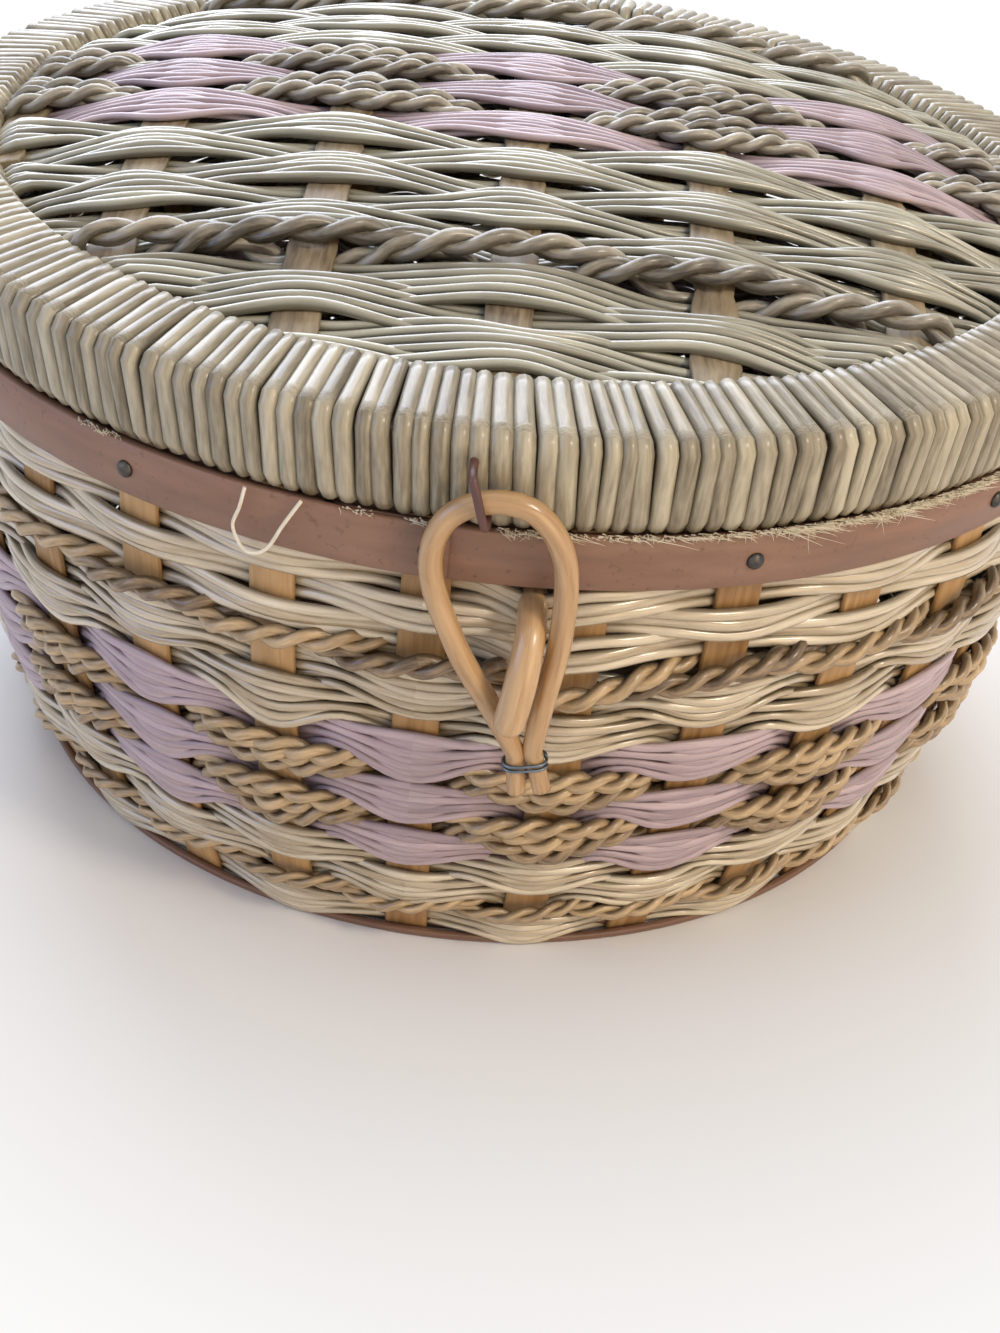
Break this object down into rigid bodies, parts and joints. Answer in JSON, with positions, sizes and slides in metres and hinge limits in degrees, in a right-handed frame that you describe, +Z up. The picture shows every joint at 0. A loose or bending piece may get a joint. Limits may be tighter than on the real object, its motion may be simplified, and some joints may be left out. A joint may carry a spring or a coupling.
{
  "type": "wicker sewing basket",
  "caption": "Round wicker sewing basket with a domed woven lid on wire ring hinges, a wrapped rim and a cane loop latch over a cane hook.",
  "frame": {"origin": "middle of the underside of the base, on the floor", "axes": "+Z up, -Y towards the front with the latch, +X to the right seen from the front"},
  "size_m": [0.3, 0.3211, 0.1664],
  "materials": {
    "stake_splint": "amber flat wood splint, satin",
    "lid_splint": "pale tan flat wood splint, matt",
    "hoop_wood": "pinkish brown bent wood, satin",
    "core_wood": "plain bent wood, hidden",
    "board": "plain thin board",
    "reed": "grey straw round reed, slightly glossy",
    "rim_wrap_reed": "pale straw reed wrapping, slightly glossy",
    "pink_reed": "reed dyed lavender pink, pearly",
    "seagrass": "brown two-ply twisted seagrass, matt",
    "cane": "golden tan whole cane, glossy",
    "nail": "dark domed steel nail",
    "hinge_wire": "dull brown steel wire",
    "staple_wire": "dark reddish brown coated wire",
    "tie_wire": "dark blue-grey steel wire"
  },
  "bodies": {
    "basket": {"base_board": "board", "foot_hoop": "hoop_wood", "foot_reed_row": "reed", "hinge_ring_left": "hinge_wire", "hinge_ring_right": "hinge_wire", "inner_rim_hoop": "hoop_wood", "latch_hook": "cane", "lower_reed_rows": "reed", "lower_twine": "seagrass", "middle_reed_rows": "reed", "outer_rim_hoop": "hoop_wood", "pink_row_1": "pink_reed", "pink_row_2": "pink_reed", "pink_row_3": "pink_reed", "rim_nail_01": "nail", "rim_nail_02": "nail", "rim_nail_03": "nail", "rim_nail_04": "nail", "rim_nail_05": "nail", "rim_nail_06": "nail", "rim_nail_07": "nail", "rim_nail_08": "nail", "rim_nail_09": "nail", "rim_nail_10": "nail", "rim_nail_11": "nail", "rim_nail_12": "nail", "rim_nail_13": "nail", "rim_nail_14": "nail", "seagrass_row_1": "seagrass", "seagrass_row_2": "seagrass", "stake_crown": "stake_splint", "upper_reed_rows": "reed", "upper_twine_a": "seagrass", "upper_twine_b": "seagrass"},
    "lid": {"lid_back_edge_rows": "reed", "lid_back_reed_rows": "reed", "lid_back_twine": "seagrass", "lid_front_edge_rows": "reed", "lid_front_reed_rows": "reed", "lid_front_twine": "seagrass", "lid_pink_row_1": "pink_reed", "lid_pink_row_2": "pink_reed", "lid_pink_row_3": "pink_reed", "lid_rim_core": "core_wood", "lid_rim_wrap": "rim_wrap_reed", "lid_seagrass_row_1": "seagrass", "lid_seagrass_row_2": "seagrass", "lid_stake_1": "lid_splint", "lid_stake_2": "lid_splint", "lid_stake_3": "lid_splint", "lid_stake_4": "lid_splint", "lid_stake_5": "lid_splint", "lid_stake_6": "lid_splint", "lid_stake_7": "lid_splint", "latch_staple": "staple_wire"},
    "latch_loop": {"latch_loop": "cane", "latch_tie": "tie_wire"}
  },
  "joints": [
    {"name": "lid_hinge", "type": "hinge", "parent": "basket", "child": "lid", "pos_m": [0, 0.1498, 0.12815], "axis": [-1, 0, 0], "range_deg": [0, 105]},
    {"name": "latch_swing", "type": "hinge", "parent": "lid", "child": "latch_loop", "pos_m": [0, -0.1527, 0.1375], "axis": [-1, 0, 0], "range_deg": [0, 150]}
  ]
}
